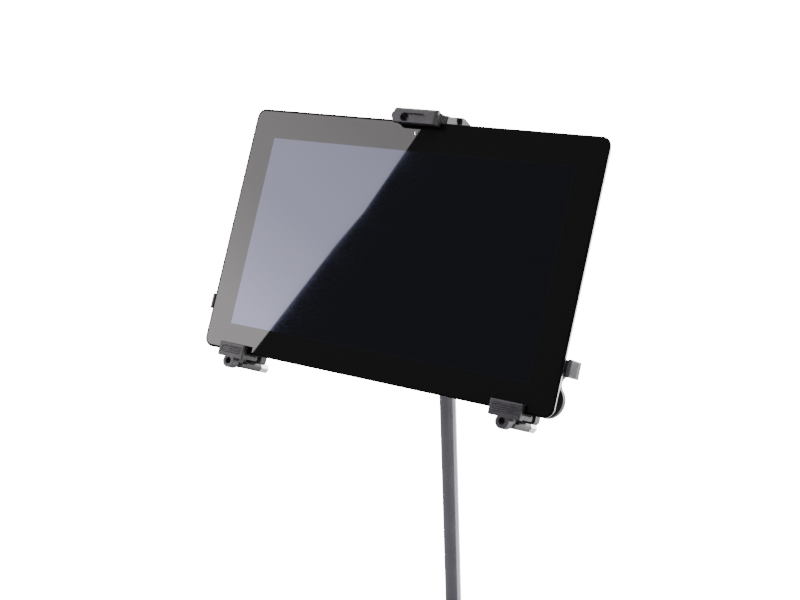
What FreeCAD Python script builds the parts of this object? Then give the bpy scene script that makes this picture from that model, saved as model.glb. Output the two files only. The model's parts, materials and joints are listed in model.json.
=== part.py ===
"""Stand-mounted tablet holder: a clamping cradle on a turning, tilting head, on the top tube of a stand.

Millimetres. The part's own frame has its origin at the open bottom end of the stand tube, +Z up
along the tube, +X to the right of the screen and -Y towards the person who looks at it.
The cradle and what it holds are modelled in the cradle's frame: x right, y up the screen,
z straight out of the glass, with its origin at the middle of the glass. place_cradle puts
them on the stand.
"""

import FreeCAD, Part
import math
import os

from FreeCAD import Placement, Rotation, Vector

os.makedirs("parts", exist_ok=True)

# Tablet that the cradle is set to
tablet_w = 274.6
tablet_h = 172.0
tablet_t = 9.4
tablet_corner = 6.5
case_rim = 1.7
case_taper = 3.2
glass_t = 1.0
glass_rim = 0.8
glass_bevel = 0.25

# Clearances
rest_gap = 0.3
pinch_gap = 0.2
slide_fit = 0.25
shaft_fit = 0.05
face_float = 0.1
glue_gap = 0.05
top_arm_gap = 1.9

# Stand tube and its threaded end
tube_r = 6.0
tube_wall = 1.2
pivot_h = 300.0
lean_deg = 26.54
stud_in_tube = 22.0
stud_in_socket = 12.0
lock_nut_r = 9.0
lock_nut_h = 5.0
lock_nut_sides = 12

# Tilt joint
lug_r = 11.0
lug_w = 13.6
lug_gap = 0.2
cheek_t = 5.0
fork_throat = 4.0
fork_web = 4.5
fork_corner = 3.0
socket_r = 10.5
socket_h = 15.0
tilt_bolt_r = 3.0
bolt_head_r = 5.7
bolt_head_t = 4.0
tilt_washer_r = 6.3
tilt_washer_t = 1.2
knob_r = 15.0
knob_t = 12.0
knob_edge = 1.9
knob_lobes = 6
hollow_r = 4.6
hollow_deep = 2.5
insert_r = 5.2
insert_len = 9.0
bolt_tip_cover = 3.6
tilt_reach = 27.0

# Hub that the cradle turns on
hub_r = 24.0
rotor_t = 5.0
flange_r = 22.0
flange_t = 6.0
neck_w = 36.0
neck_deep = 9.0
rib_w = 4.0
hub_bolt_r = 3.0
hub_head_r = 6.0
hub_head_t = 2.6
hub_washer_r = 6.8
hub_washer_t = 0.8

# Flat arms and the rails that they slide in
arm_w = 16.0
arm_t = 3.5
arm_corner = 2.0
arm_slot_w = 5.6
arm_travel = 40.0
arm_beyond_slot = 6.0
arm_end_gap = 1.0
top_beyond_slot = 4.0
rail_wall = 2.0
rail_edge = 0.8
rail_up = 11.5
cross_half = 72.0
spine_gap = 3.0

# Plate that joins the rails
tee_t = 3.0
tee_half_w = 42.0
tee_top = 24.0
tee_side = 2.0
tee_inset = 1.0
tee_corner = 4.0
tee_web = 6.0
tee_screw_r = 1.5
tee_head_r = 3.0
tee_head_t = 1.6
tee_screw_in = 7.0
tee_screw_up = 12.0

# Lock screws of the arms
lock_in = 17.0
lock_down = 10.5
lock_screw_r = 2.5
lock_screw_out = 0.8
lock_knob_r = 9.0
lock_knob_t = 9.0
lock_knob_edge = 2.6
lock_hub_r = 4.6
lock_hub_t = 5.4
lock_wing_t = 4.0
lock_wing_lift = 2.2

# Bases of the claws, at the ends of the side arms
claw_in = 29.3
claw_w = 22.0
base_t = 6.2
base_corner = 1.5
base_foot = 1.2
ear_inset = 3.0
barrel_r = 3.2
barrel_len = 17.0
barrel_out = 4.6
barrel_web = 4.4
trough_len = 7.5
axis_drop = 7.1
pad_w = 15.0
pad_h = 12.0
pad_seat = 0.6
pad_left = 2.0
pad_down = 2.0
pad_corner = 2.0
arm_screw_r = 2.0
arm_head_r = 4.0
arm_head_t = 2.0
arm_screw_skin = 1.0
arm_screw_in = 3.0
key_wall = 1.5

# Claws under the tablet, and their clamp screws
lip_t = 4.7
lip_rise = 5.3
lip_edge = 0.7
lip_foot = 0.7
ledge_t = 3.6
ledge_len = 11.8
ring_r = 4.6
ring_back = 1.3
sleeve_r = 1.8
sleeve_len = 8.3
claw_web = 4.8
panel_w = 16.0
panel_h = 4.8
panel_up = 1.6
panel_deep = 0.35
panel_corner = 0.8
liner_t = 0.8
liner_side = 0.3
liner_wall = 2.7
liner_top = 0.7
liner_back = 2.2
clamp_screw_r = 1.25
clamp_head_r = 2.1
clamp_head_t = 2.4
clamp_head_sink = 3.8
clamp_hex_r = 1.2
clamp_hex_deep = 1.4
clamp_travel = 6.0
clamp_grip = 2.5
nut_t = 8.0
nut_r = 3.6

# Side levers
lever_t = 3.8
lever_gap = 2.8
lever_hub_r = 11.0
lever_hub_turn_deg = 42.0
lever_neck = 9.0
lever_rise = 26.0
lever_waist = 5.6
lever_shoulder = 3.0
lever_inner = 1.5
lever_edge = 0.5
pivot_in = 12.0
pivot_up = 11.0
stop_w = 3.7
stop_behind = 1.9
stop_h = 10.6
stop_pad_t = 1.2
stop_pad_edge = 0.6
stop_pad_front = 0.3
lever_screw_r = 1.6
lever_head_r = 3.4
lever_head_t = 1.6
lever_nut_r = 3.4
lever_nut_t = 2.4
lever_screw_out = 0.8

# Top jaw
jaw_half_w = 16.5
jaw_front = 8.0
jaw_over = 3.4
jaw_plate = 3.8
jaw_rise = 6.5
jaw_edge = 1.6
jaw_bump_r = 2.2
jaw_bump_low = 1.8
jaw_bump_high = 2.4
jaw_bump_sink = 1.2
pill_w = 19.4
pill_h = 5.7
pill_deep = 1.6
pill_up = 0.6
pill_left = 1.0
pill_rim = 0.2
grip_t = 1.9
grip_side = 0.3
grip_up = 0.5
grip_share = 0.68
grip_ribs = 6
grip_groove = 0.6
bridge_sink = 0.6
carriage_len = 27.0
carriage_deep = 11.0
carriage_wall = 3.4
carriage_edge = 2.0
carriage_over = 0.8
thumb_reach = 7.0
thumb_low = 8.0
jaw_travel = 10.0
window_w = 6.0
window_up = 3.0
peg_gap = 0.4
peg_h = 2.0
spring_short = 7.6
coil_r = 2.1
wire_t = 0.7
coil_turns = 4
coil_steps = 12
coil_room = 0.4
jaw_screw_r = 1.5
jaw_head_r = 2.4
jaw_head_t = 2.0
jaw_screw_tip = 1.5
jaw_screw_len = 13.9
pocket_w = 27.0
pocket_h = 5.2
pocket_deep = 7.4
pocket_corner = 1.6
pocket_back = 14.4

# Levels behind the glass, front to back
back_z = -tablet_t
lever_z = back_z - lever_gap
base_z = lever_z - lever_t - face_float
arm_z = base_z - base_t
arm_back_z = arm_z - arm_t
rail_in_z = arm_z + slide_fit
rail_front_z = rail_in_z + rail_wall
rail_back_in_z = arm_back_z - slide_fit
rail_back_z = rail_back_in_z - rail_wall
rotor_z = rail_back_z - tee_t
rotor_back_z = rotor_z - rotor_t
flange_z = rotor_back_z - rest_gap
flange_back_z = flange_z - flange_t
pivot_z = flange_back_z - tilt_reach

# Places in the cradle's frame
bottom_y = -tablet_h / 2
top_y = tablet_h / 2
side_x = tablet_w / 2
claw_x = side_x - claw_in
pivot_x = side_x - pivot_in
pivot_y = bottom_y + pivot_up
arm_y = bottom_y + rail_up
screw_y = bottom_y - axis_drop
ledge_y = bottom_y - pinch_gap
ledge_low = ledge_y - ledge_t
lip_z = rest_gap
lip_face = lip_z + lip_t
barrel_front_z = base_z + barrel_out
barrel_back_z = barrel_front_z - barrel_len
rail_half = arm_w / 2 + slide_fit + rail_wall
spine_low = arm_y + rail_half
carriage_low = top_y - carriage_len
spine_top = carriage_low - spine_gap
lock_x = cross_half - lock_in
lock_y = spine_top - lock_down
top_arm_low = hub_washer_r + top_arm_gap
top_travel = lock_y - arm_slot_w / 2 - top_beyond_slot - top_arm_low

# Heights on the stand, from the tilt bolt down
socket_top = pivot_h - lug_r - fork_throat
socket_bottom = socket_top - socket_h
nut_top = socket_bottom - face_float
nut_bottom = nut_top - lock_nut_h
tube_top = nut_bottom - face_float
tube_bore = tube_r - tube_wall
stud_bore = tube_bore + shaft_fit

# Distances along the tilt bolt
cheek_in = lug_w / 2 + lug_gap
cheek_out = cheek_in + cheek_t
knob_in = cheek_out + tilt_washer_t + 2 * face_float

# How far a cutting tool runs past what it cuts
over = 1.0


def box(x0, x1, y0, y1, z0, z1):
    """A box between two corners."""
    low = Vector(min(x0, x1), min(y0, y1), min(z0, z1))
    return Part.makeBox(abs(x1 - x0), abs(y1 - y0), abs(z1 - z0), low)


def rod(r, x, y, z0, z1):
    """A cylinder along z."""
    return Part.makeCylinder(r, abs(z1 - z0), Vector(x, y, min(z0, z1)))


def rod_x(r, y, z, x0, x1):
    """A cylinder along x."""
    return Part.makeCylinder(r, abs(x1 - x0), Vector(min(x0, x1), y, z), Vector(1, 0, 0))


def plate(points, z0, z1):
    """An outline of (x, y) points, extruded along z."""
    ring = [Vector(x, y, min(z0, z1)) for x, y in points]
    face = Part.Face(Part.makePolygon(ring + ring[:1]))
    return face.extrude(Vector(0, 0, abs(z1 - z0)))


def plate_x(points, x0, x1):
    """An outline of (y, z) points, extruded along x."""
    ring = [Vector(x0, y, z) for y, z in points]
    face = Part.Face(Part.makePolygon(ring + ring[:1]))
    return face.extrude(Vector(x1 - x0, 0, 0))


def prism(r, sides, x, y, z0, z1):
    """A prism along z with equal sides, r to its corners."""
    turns = [2 * math.pi * k / sides for k in range(sides)]
    return plate([(x + r * math.cos(a), y + r * math.sin(a)) for a in turns], z0, z1)


def hexagon(r, x, y, z0, z1):
    return prism(r, 6, x, y, z0, z1)


def cut_corners(x0, x1, y0, y1, c):
    """The points of a rectangle with its corners cut off by c."""
    return [(x0 + c, y0), (x1 - c, y0), (x1, y0 + c), (x1, y1 - c),
            (x1 - c, y1), (x0 + c, y1), (x0, y1 - c), (x0, y0 + c)]


def both_sides(points):
    """The right-hand points of an outline, and their twins on the left."""
    return points + [(-x, y) for x, y in reversed(points)]


def slot_along_x(x0, x1, y, r, z0, z1):
    """A plate with round ends, from x0 to x1 over its ends."""
    middle = box(x0 + r, x1 - r, y - r, y + r, z0, z1)
    ends = [rod(r, x0 + r, y, z0, z1), rod(r, x1 - r, y, z0, z1)]
    return middle.multiFuse(ends).removeSplitter()


def slot_along_y(y0, y1, x, r, z0, z1):
    """A plate with round ends, from y0 to y1 over its ends."""
    slot = slot_along_x(y0, y1, -x, r, z0, z1)
    slot.rotate(Vector(0, 0, 0), Vector(0, 0, 1), 90)
    return slot


def edges_at(shape, test):
    """The edges whose middle passes a test of (x, y, z)."""
    found = []
    for edge in shape.Edges:
        middle = edge.CenterOfMass
        if test(middle.x, middle.y, middle.z):
            found.append(edge)
    return found


def near(a, b):
    return abs(a - b) < 0.01


def mirrored(shape):
    """The left-hand twin of a right-hand piece."""
    return shape.mirror(Vector(0, 0, 0), Vector(1, 0, 0))


def screw_from_behind(x, y, head_r, head_t, shank_r, seat, tip):
    """A hexagon screw that goes in from behind, its head standing on z = seat."""
    head = hexagon(head_r, x, y, seat - head_t, seat)
    return head.fuse(rod(shank_r, x, y, seat, tip)).removeSplitter()


cradle_turn = Rotation(Vector(1, 0, 0), 90 - lean_deg)
glass_middle = Vector(0, 0, pivot_h) - cradle_turn.multVec(Vector(0, 0, pivot_z))
cradle_place = Placement(glass_middle, cradle_turn)


def place_cradle(shape):
    """Moves a shape from the cradle's frame to the part's frame."""
    placed = shape.copy()
    placed.transformShape(cradle_place.toMatrix())
    return placed


def save(name, shape):
    shape.exportStep("parts/" + name + ".step")


def save_in_cradle(name, shape):
    save(name, place_cradle(shape))


# Stand

def stand_tube():
    return rod(tube_r, 0, 0, 0, tube_top).cut(rod(tube_bore, 0, 0, -over, tube_top + over))


def thread_stud():
    """The stud pressed into the tube; the lock nut and the fork run on its thread."""
    return rod(tube_bore, 0, 0, tube_top - stud_in_tube, socket_bottom + stud_in_socket)


def lock_nut():
    ring = prism(lock_nut_r, lock_nut_sides, 0, 0, nut_bottom, nut_top)
    return ring.cut(rod(stud_bore, 0, 0, nut_bottom - over, nut_top + over))


# Tilt joint: the fork stays on the stand, the lug tilts in it

def swivel_fork():
    cheeks = []
    for side in (-1, 1):
        x0, x1 = sorted((side * cheek_in, side * cheek_out))
        disc = rod_x(lug_r, 0, pivot_h, x0, x1)
        leg = box(x0, x1, -lug_r, lug_r, socket_top, pivot_h)
        cheeks.append(disc.fuse(leg))
    outline = cut_corners(-cheek_out, cheek_out, -lug_r, lug_r, fork_corner)
    web = plate(outline, socket_top - fork_web, socket_top)
    socket = rod(socket_r, 0, 0, socket_bottom, socket_top)
    body = web.multiFuse(cheeks + [socket]).removeSplitter()
    bore_top = socket_bottom + stud_in_socket + rest_gap
    bore = rod(stud_bore, 0, 0, socket_bottom - over, bore_top)
    cross = rod_x(tilt_bolt_r + shaft_fit, 0, pivot_h, -cheek_out - over, cheek_out + over)
    return body.cut(bore).cut(cross)


def tilt_washer():
    low = cheek_out + face_float
    ring = rod_x(tilt_washer_r, 0, pivot_h, low, low + tilt_washer_t)
    return ring.cut(rod_x(tilt_bolt_r + shaft_fit, 0, pivot_h, low - over, knob_in + over))


def on_tilt_axis(shape, x):
    """Turns a piece modelled along z so that it lies on the tilt axis, its z = 0 at x."""
    placed = shape.copy()
    placed.rotate(Vector(0, 0, 0), Vector(0, 1, 0), 90)
    placed.translate(Vector(x, 0, pivot_h))
    return placed


def tilt_bolt():
    tip = knob_in + knob_t - bolt_tip_cover
    head = hexagon(bolt_head_r, 0, 0, -cheek_out - bolt_head_t, -cheek_out)
    shank = rod(tilt_bolt_r, 0, 0, -cheek_out, tip)
    return on_tilt_axis(head.fuse(shank).removeSplitter(), 0)


def tilt_knob():
    """A knob with hollows between its lobes, moulded round the hexagon insert."""
    body = rod(knob_r, 0, 0, 0, knob_t)
    body = body.makeChamfer(knob_edge, edges_at(body, lambda x, y, z: near(z, knob_t)))
    reach = knob_r + hollow_r - hollow_deep
    hollows = []
    for k in range(knob_lobes):
        a = 2 * math.pi * (k + 0.5) / knob_lobes
        hollows.append(rod(hollow_r, reach * math.cos(a), reach * math.sin(a), -over,
                           knob_t + over))
    body = body.cut(Part.makeCompound(hollows))
    return on_tilt_axis(body.cut(hexagon(insert_r, 0, 0, -over, insert_len)), knob_in)


def knob_insert():
    core = hexagon(insert_r, 0, 0, 0, insert_len)
    bore = rod(tilt_bolt_r + shaft_fit, 0, 0, -over, insert_len + over)
    return on_tilt_axis(core.cut(bore), knob_in)


def tilt_head():
    """The flange that carries the hub, on a ribbed neck with the tilt lug at its end."""
    flange = rod(flange_r, 0, 0, flange_back_z, flange_z)
    half = lug_w / 2
    lug = rod_x(lug_r, 0, pivot_z, -half, half)
    low = flange_back_z - neck_deep
    spread = neck_w / 2
    neck = plate_x([(-lug_r, pivot_z), (lug_r, pivot_z), (lug_r, low), (spread, flange_back_z),
                    (-spread, flange_back_z), (-lug_r, low)], -half, half)
    rib = plate_x([(-half, low), (half, low), (spread, flange_back_z),
                   (-spread, flange_back_z)], -rib_w / 2, rib_w / 2)
    rib.rotate(Vector(0, 0, 0), Vector(0, 0, 1), 90)
    body = flange.multiFuse([lug, neck, rib]).removeSplitter()
    bolt_hole = rod(hub_bolt_r, 0, 0, low, flange_z + over)
    cross = rod_x(tilt_bolt_r + shaft_fit, 0, pivot_z, -half - over, half + over)
    return body.cut(bolt_hole).cut(cross)


# Hub

hub_washer_z = rail_back_in_z + face_float
hub_head_z = hub_washer_z + hub_washer_t
hub_bore = hub_bolt_r + shaft_fit


def hub_bolt():
    """The bolt screwed into the flange; its head is inside the spine rail."""
    head = hexagon(hub_head_r, 0, 0, hub_head_z, hub_head_z + hub_head_t)
    shank = rod(hub_bolt_r, 0, 0, flange_back_z - neck_deep, hub_head_z)
    return head.fuse(shank).removeSplitter()


def hub_washer():
    ring = rod(hub_washer_r, 0, 0, hub_washer_z, hub_head_z)
    return ring.cut(rod(hub_bore, 0, 0, hub_washer_z - over, hub_head_z + over))


def hub_rotor():
    disc = rod(hub_r, 0, 0, rotor_back_z, rotor_z)
    return disc.cut(rod(hub_bore, 0, 0, rotor_back_z - over, rotor_z + over))


# Rails and the plate that joins them

tee_screw_places = [
    (-tee_half_w + tee_screw_in, arm_y), (tee_half_w - tee_screw_in, arm_y),
    (0, spine_low + tee_screw_up),
]


def rail_along_y(x0, x1, y0, y1):
    """A flat extruded tube that an arm slides in."""
    outer = box(x0, x1, y0, y1, rail_back_z, rail_front_z)
    outer = outer.makeChamfer(rail_edge, [e for e in outer.Edges if near(e.Length, y1 - y0)])
    inner = box(x0 + rail_wall, x1 - rail_wall, y0 - over, y1 + over, rail_back_in_z, rail_in_z)
    return outer.cut(inner)


def lock_hole(x, y):
    """A hole for a lock screw through both walls of a rail."""
    return rod(lock_screw_r + shaft_fit, x, y, rail_back_z - over, rail_front_z + over)


def tee_screw_holes(z0, z1):
    holes = [rod(tee_screw_r, x, y, z0 - over, z1 + over) for x, y in tee_screw_places]
    return Part.makeCompound(holes)


def cross_rail():
    body = rail_along_y(-rail_half, rail_half, -cross_half, cross_half)
    body.rotate(Vector(0, 0, 0), Vector(0, 0, 1), 90)
    body.translate(Vector(0, arm_y, 0))
    for side in (-1, 1):
        body = body.cut(lock_hole(side * lock_x, arm_y))
    return body.cut(tee_screw_holes(rail_back_z, rail_back_in_z))


def spine_rail():
    """The upright rail; a hole in its front wall lets the hub bolt's head in."""
    body = rail_along_y(-rail_half, rail_half, spine_low, spine_top)
    body = body.cut(lock_hole(0, lock_y))
    body = body.cut(rod(hub_washer_r + rest_gap, 0, 0, rail_in_z - over, rail_front_z + over))
    body = body.cut(rod(hub_bore, 0, 0, rail_back_z - over, rail_back_in_z + over))
    return body.cut(tee_screw_holes(rail_back_z, rail_back_in_z))


def tee_plate():
    low = arm_y - rail_half + tee_inset
    high = arm_y + rail_half - tee_inset
    stem = rail_half + tee_side
    c = tee_corner
    outline = both_sides([
        (tee_half_w - c, low), (tee_half_w, low + c), (tee_half_w, high - c),
        (tee_half_w - c, high), (stem + tee_web, high), (stem, high + tee_web),
        (stem, tee_top - c), (stem - c, tee_top),
    ])
    body = plate(outline, rotor_z, rail_back_z)
    body = body.cut(rod(hub_bore, 0, 0, rotor_z - over, rail_back_z + over))
    return body.cut(tee_screw_holes(rotor_z, rail_back_z))


def tee_screws():
    screws = [screw_from_behind(x, y, tee_head_r, tee_head_t, tee_screw_r, rotor_z, rail_back_in_z)
              for x, y in tee_screw_places]
    return Part.makeCompound(screws)


# Arms

slot_r = arm_slot_w / 2
arm_end_x = pivot_x - lever_hub_r - arm_end_gap
side_arm_in = lock_x - arm_travel - slot_r - arm_beyond_slot
arm_screw_x = claw_x - arm_screw_in


def side_arm():
    """The right-hand arm; the slot is as long as its travel."""
    outline = cut_corners(side_arm_in, arm_end_x, arm_y - arm_w / 2, arm_y + arm_w / 2, arm_corner)
    bar = plate(outline, arm_back_z, arm_z)
    slot = slot_along_x(lock_x - arm_travel - slot_r, lock_x + slot_r, arm_y, slot_r,
                        arm_back_z - over, arm_z + over)
    return bar.cut(slot).cut(rod(arm_screw_r, arm_screw_x, arm_y, arm_back_z - over, arm_z + over))


window_low = carriage_low + window_up
peg_y = window_low + peg_gap
window_high = peg_y + peg_h + jaw_travel + spring_short


def top_arm():
    """The top arm, with a slot for its lock screw and a window for the jaw's spring."""
    outline = cut_corners(-arm_w / 2, arm_w / 2, top_arm_low, top_y, arm_corner)
    bar = plate(outline, arm_back_z, arm_z)
    slot = slot_along_y(lock_y - top_travel - slot_r, lock_y + slot_r, 0, slot_r,
                        arm_back_z - over, arm_z + over)
    window = box(-window_w / 2, window_w / 2, window_low, window_high,
                 arm_back_z - over, arm_z + over)
    return bar.cut(slot).cut(window)


lock_knob_z = rail_back_z - face_float
lock_screw_z = lock_knob_z - lock_hub_t


def lock_screw(x, y):
    return rod(lock_screw_r, x, y, lock_screw_z, rail_front_z + lock_screw_out)


def lock_knob(x, y):
    """A wing knob: a round hub with a flat grip across it."""
    hub = rod(lock_hub_r, x, y, lock_screw_z, lock_knob_z)
    back = lock_knob_z - lock_knob_t
    front = lock_knob_z - lock_wing_lift
    wing = box(x - lock_knob_r, x + lock_knob_r, y - lock_wing_t / 2, y + lock_wing_t / 2,
               back, front)
    tips = [e for e in wing.Edges if near(e.Length, lock_wing_t)]
    body = hub.fuse(wing.makeChamfer(lock_knob_edge, tips)).removeSplitter()
    return body.cut(rod(lock_screw_r, x, y, lock_screw_z, lock_knob_z + over))


# Claw bases at the ends of the side arms

claw_half = claw_w / 2
pad_x = claw_x - pad_left
pad_y = pivot_y - pad_down
pad_z = lever_z + pad_seat


def pad_outline():
    return cut_corners(pad_x - pad_w / 2, pad_x + pad_w / 2, pad_y - pad_h / 2,
                       pad_y + pad_h / 2, pad_corner)


def base_plate():
    """The plate under the claw: an ear round the lever's screw, and a channel for the arm's end."""
    left, right = claw_x - claw_half, claw_x + claw_half
    key = arm_w / 2 + key_wall
    ear_r = lever_hub_r - ear_inset
    block = plate(cut_corners(left, right, ledge_low - base_foot, arm_y + key, base_corner),
                  arm_z, base_z)
    channel = box(left + base_corner, right - base_corner, arm_y - key, arm_y + key,
                  arm_back_z, arm_z)
    channel = channel.cut(box(left, right, arm_y - arm_w / 2, arm_y + arm_w / 2,
                              arm_back_z, arm_z))
    ear = rod(ear_r, pivot_x, pivot_y, arm_z, base_z)
    bridge = box(claw_x, pivot_x, pivot_y - ear_r, pivot_y + ear_r, arm_z, base_z)
    return block.multiFuse([ear, bridge, channel])


def claw_base():
    """The base: it carries the clamp screw's barrel, and the seat of the tablet's back pad."""
    barrel = rod(barrel_r, claw_x, screw_y, barrel_back_z, barrel_front_z)
    trough_end = barrel_front_z + trough_len
    trough = rod(barrel_r, claw_x, screw_y, barrel_front_z, trough_end)
    trough = trough.cut(box(claw_x - claw_w, claw_x + claw_w, screw_y, screw_y + claw_w,
                            barrel_front_z, trough_end))
    web = box(claw_x - barrel_web / 2, claw_x + barrel_web / 2, screw_y, ledge_low, arm_z, base_z)
    boss = plate(pad_outline(), base_z, pad_z)
    body = base_plate().multiFuse([barrel, trough, web, boss]).removeSplitter()
    body = body.cut(rod(sleeve_r + slide_fit, claw_x, screw_y, barrel_front_z, trough_end + over))
    body = body.cut(rod(clamp_screw_r + shaft_fit, claw_x, screw_y, barrel_back_z - over,
                        barrel_front_z + over))
    body = body.cut(rod(lever_screw_r, pivot_x, pivot_y, arm_z - over, base_z + over))
    return body.cut(rod(arm_screw_r, arm_screw_x, arm_y, arm_z - over, base_z - arm_screw_skin))


def arm_screw():
    return screw_from_behind(arm_screw_x, arm_y, arm_head_r, arm_head_t, arm_screw_r,
                             arm_back_z, base_z - arm_screw_skin)


def back_pad():
    """The rubber block that the tablet's back lies on."""
    return plate(pad_outline(), pad_z, back_z - pinch_gap)


# Front claws

def claw():
    """The moving claw: a lip over the glass, a ledge under the tablet and a ring for the screw."""
    left, right = claw_x - claw_half, claw_x + claw_half
    tip_r = ledge_t / 2
    tip_z = -ledge_len + tip_r
    lip = box(left, right, ledge_low - lip_foot, bottom_y + lip_rise, lip_z, lip_face)
    ledge = box(left, right, ledge_low, ledge_y, tip_z, lip_z)
    tip = rod_x(tip_r, ledge_low + tip_r, tip_z, left, right)
    ring = rod(ring_r, claw_x, screw_y, lip_z - ring_back, lip_face)
    sleeve = rod(sleeve_r, claw_x, screw_y, lip_z - sleeve_len, lip_z)
    web = box(claw_x - claw_web / 2, claw_x + claw_web / 2, screw_y, ledge_low + tip_r,
              lip_z - sleeve_len, lip_z)
    body = lip.multiFuse([ledge, tip, ring, sleeve, web]).removeSplitter()
    rims = edges_at(body, lambda x, y, z: near(z, lip_face) and y > ledge_low)
    body = body.makeChamfer(lip_edge, rims)
    panel_low = bottom_y - panel_up
    panel = plate(cut_corners(claw_x - panel_w / 2, claw_x + panel_w / 2, panel_low,
                              panel_low + panel_h, panel_corner),
                  lip_face - panel_deep, lip_face + over)
    body = body.cut(panel).cut(claw_liner(glue_gap, liner_side + over))
    body = body.cut(rod(clamp_head_r + pinch_gap, claw_x, screw_y, lip_face - clamp_head_sink,
                        lip_face + over))
    return body.cut(rod(clamp_screw_r + shaft_fit, claw_x, screw_y, lip_z - sleeve_len - over,
                        lip_face))


def claw_liner(grow, aside):
    """The rubber inside the claw: along the ledge, and thick behind the lip."""
    half = claw_half - liner_side + aside
    deep = liner_t + grow
    floor = box(claw_x - half, claw_x + half, ledge_y - deep, ledge_y + glue_gap,
                -ledge_len + liner_back - grow, lip_z + deep)
    wall = box(claw_x - half, claw_x + half, ledge_y - deep,
               bottom_y + lip_rise - liner_top + grow, lip_z - glue_gap, lip_z + liner_wall + grow)
    return floor.fuse(wall).removeSplitter()


def clamp_screw():
    seat = lip_face - clamp_head_sink
    top = seat + clamp_head_t
    end = barrel_back_z - clamp_travel - clamp_grip
    head = rod(clamp_head_r, claw_x, screw_y, seat, top)
    head = head.cut(hexagon(clamp_hex_r, claw_x, screw_y, top - clamp_hex_deep, top + over))
    return head.fuse(rod(clamp_screw_r, claw_x, screw_y, end, seat)).removeSplitter()


def clamp_nut():
    nut = hexagon(nut_r, claw_x, screw_y, barrel_back_z - nut_t, barrel_back_z)
    return nut.cut(rod(clamp_screw_r + shaft_fit, claw_x, screw_y, barrel_back_z - nut_t - over,
                       barrel_back_z + over))


# Side levers

stop_top = pivot_y + lever_rise
stop_low = stop_top - stop_h
stop_in = side_x + pinch_gap
stop_face = -stop_behind
hub_turn = math.radians(lever_hub_turn_deg)


def lever_outline():
    """The lever seen along z: a round hub, a waisted neck and a flat head beside the tablet."""
    z = lever_z - lever_t
    hub = Vector(pivot_x, pivot_y, z)
    right, left = stop_in + stop_w, pivot_x - lever_inner
    waist_y = (stop_low + pivot_y + lever_hub_r) / 2
    outer_waist = Vector(side_x - lever_waist, waist_y, z)
    inner_waist = Vector(outer_waist.x - lever_neck, waist_y, z)
    side = Vector(lever_hub_r * math.cos(hub_turn), lever_hub_r * math.sin(hub_turn), 0)
    hub_right = hub + side
    hub_left = hub + Vector(-side.x, side.y, 0)
    hub_foot = hub + Vector(0, -lever_hub_r, 0)
    head_right = Vector(right, stop_low, z)
    head_left = Vector(left, stop_top - lever_shoulder, z)
    corner = Vector(left + lever_shoulder, stop_top, z)
    far = Vector(right, stop_top, z)
    return Part.Face(Part.Wire([
        Part.Arc(hub_left, hub_foot, hub_right).toShape(),
        Part.Arc(hub_right, outer_waist, head_right).toShape(),
        Part.LineSegment(head_right, far).toShape(),
        Part.LineSegment(far, corner).toShape(),
        Part.LineSegment(corner, head_left).toShape(),
        Part.Arc(head_left, inner_waist, hub_left).toShape(),
    ]))


def side_lever():
    body = lever_outline().extrude(Vector(0, 0, lever_t))
    block = box(stop_in + stop_pad_t, stop_in + stop_w, stop_low, stop_top, lever_z, stop_face)
    body = body.fuse(block).removeSplitter()
    rim = edges_at(body, lambda x, y, z: near(z, stop_face))
    body = body.makeChamfer(lever_edge, rim)
    return body.cut(rod(lever_screw_r + shaft_fit, pivot_x, pivot_y, lever_z - lever_t - over,
                        lever_z + over))


def stop_pad():
    """The rubber face that touches the tablet's side."""
    return box(stop_in, stop_in + stop_pad_t, stop_low + stop_pad_edge, stop_top - stop_pad_edge,
               lever_z, stop_face - stop_pad_front)


def lever_screw():
    seat = lever_z + face_float
    head = hexagon(lever_head_r, pivot_x, pivot_y, seat, seat + lever_head_t)
    shank = rod(lever_screw_r, pivot_x, pivot_y, arm_z - lever_nut_t - lever_screw_out, seat)
    return head.fuse(shank).removeSplitter()


def lever_nut():
    nut = hexagon(lever_nut_r, pivot_x, pivot_y, arm_z - lever_nut_t, arm_z)
    return nut.cut(rod(lever_screw_r, pivot_x, pivot_y, arm_z - lever_nut_t - over, arm_z + over))


# Top jaw

jaw_low_y = top_y - jaw_over
jaw_high_y = top_y + jaw_rise
bridge_low = top_y + pinch_gap + grip_t
bridge_high = jaw_high_y - bridge_sink
grip_back = -tablet_t * grip_share
hook_back = jaw_front - jaw_plate
carriage_back_z = rail_back_in_z - rail_wall - carriage_wall
jaw_screw_y = (bridge_low + bridge_high) / 2
jaw_screw_seat = grip_back - jaw_screw_len + jaw_screw_tip


def jaw_lip():
    """The hook over the glass, with the bridge that carries it back over the tablet's edge."""
    hook = box(-jaw_half_w, jaw_half_w, jaw_low_y, jaw_high_y, hook_back, jaw_front)
    hook = hook.makeChamfer(jaw_edge, edges_at(hook, lambda x, y, z: near(z, jaw_front)
                                               and (near(y, jaw_high_y) or near(x, jaw_half_w))))
    bump = slot_along_y(jaw_low_y + jaw_bump_low, jaw_high_y - jaw_bump_high, -jaw_half_w,
                        jaw_bump_r, hook_back, jaw_front - jaw_bump_sink)
    bridge = box(-jaw_half_w + grip_t, jaw_half_w - grip_t, bridge_low, bridge_high,
                 grip_back, hook_back)
    body = hook.multiFuse([bump, bridge]).removeSplitter()
    pill_r = pill_h / 2
    pill_y = jaw_low_y + pill_up + pill_r
    pill_x = -pill_w / 2 - pill_left
    body = body.cut(slot_along_x(pill_x, pill_x + pill_w, pill_y, pill_r, jaw_front - pill_deep,
                                 jaw_front + over))
    body = body.cut(rod(pill_r - pill_rim, pill_x + pill_r, pill_y, jaw_front - 2 * pill_deep,
                        jaw_front))
    return body.cut(rod(jaw_screw_r, 0, jaw_screw_y, grip_back - over, jaw_screw_tip))


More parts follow.
